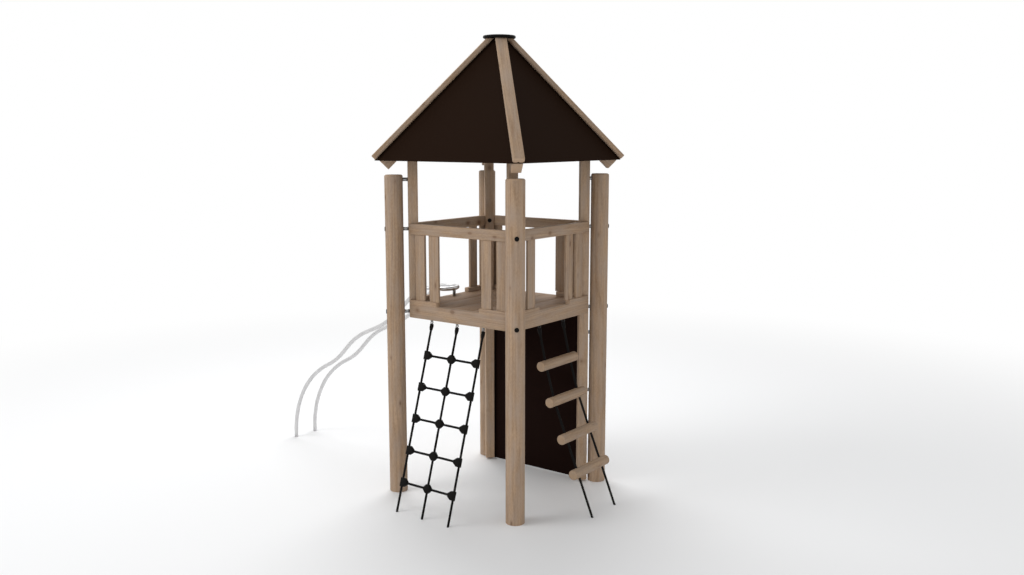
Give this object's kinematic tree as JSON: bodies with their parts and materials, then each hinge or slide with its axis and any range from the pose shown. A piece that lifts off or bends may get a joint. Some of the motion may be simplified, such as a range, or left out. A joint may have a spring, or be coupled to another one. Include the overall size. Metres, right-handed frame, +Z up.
{
  "type": "play tower",
  "caption": "Timber play tower on round corner posts with a steep pyramid roof, raised deck, sloping climbing net, rope ladder with timber rungs and a wavy two-tube slide.",
  "frame": {"origin": "middle of the whole object's footprint box, on the ground", "axes": "+Z up; +Y towards the slide's ground end; the rope ladder is on -Y of the tower and the climbing net on -X"},
  "size_m": [1.6692, 3.3193, 3.541],
  "materials": {
    "post_wood": "oiled, weathered",
    "wood": "oiled, weathered",
    "deck_wood": "oiled, weathered",
    "roof_board": "satin laminate board",
    "wall_board": "satin laminate board",
    "black_plastic": "satin",
    "rope": "braided",
    "steel": "galvanised or brushed"
  },
  "bodies": {
    "root": {"balusters_ladder": "wood", "balusters_net": "wood", "balusters_panel": "wood", "balusters_slide": "wood", "batten_back": "wood", "batten_front": "wood", "batten_left": "wood", "batten_right": "wood", "bolt_caps_back": "black_plastic", "bolt_caps_front": "black_plastic", "bolt_caps_left": "black_plastic", "bolt_caps_right": "black_plastic", "climbing_net": "rope", "deck_bearers": "deck_wood", "deck_boards": "deck_wood", "inner_post_back": "wood", "inner_post_front": "wood", "inner_post_left": "wood", "inner_post_right": "wood", "ladder_eyes": "steel", "ladder_ropes": "rope", "ladder_rung_1": "wood", "ladder_rung_2": "wood", "ladder_rung_3": "wood", "ladder_rung_4": "wood", "net_eyes": "steel", "rafter_back": "wood", "rafter_front": "wood", "rafter_left": "wood", "rafter_right": "wood", "rail_ladder": "wood", "rail_net": "wood", "rail_panel": "wood", "rail_slide": "wood", "rim_ladder": "wood", "rim_net": "wood", "rim_panel": "wood", "rim_slide": "wood", "roof_cap": "black_plastic", "roof_panel_ladder": "roof_board", "roof_panel_net": "roof_board", "roof_panel_panel": "roof_board", "roof_panel_slide": "roof_board", "round_post_back": "post_wood", "round_post_front": "post_wood", "round_post_left": "post_wood", "round_post_right": "post_wood", "slide_leg": "steel", "slide_tubes": "steel", "spacers_back": "steel", "spacers_front": "steel", "spacers_left": "steel", "spacers_right": "steel", "wall_panel": "wall_board"}
  },
  "joints": []
}
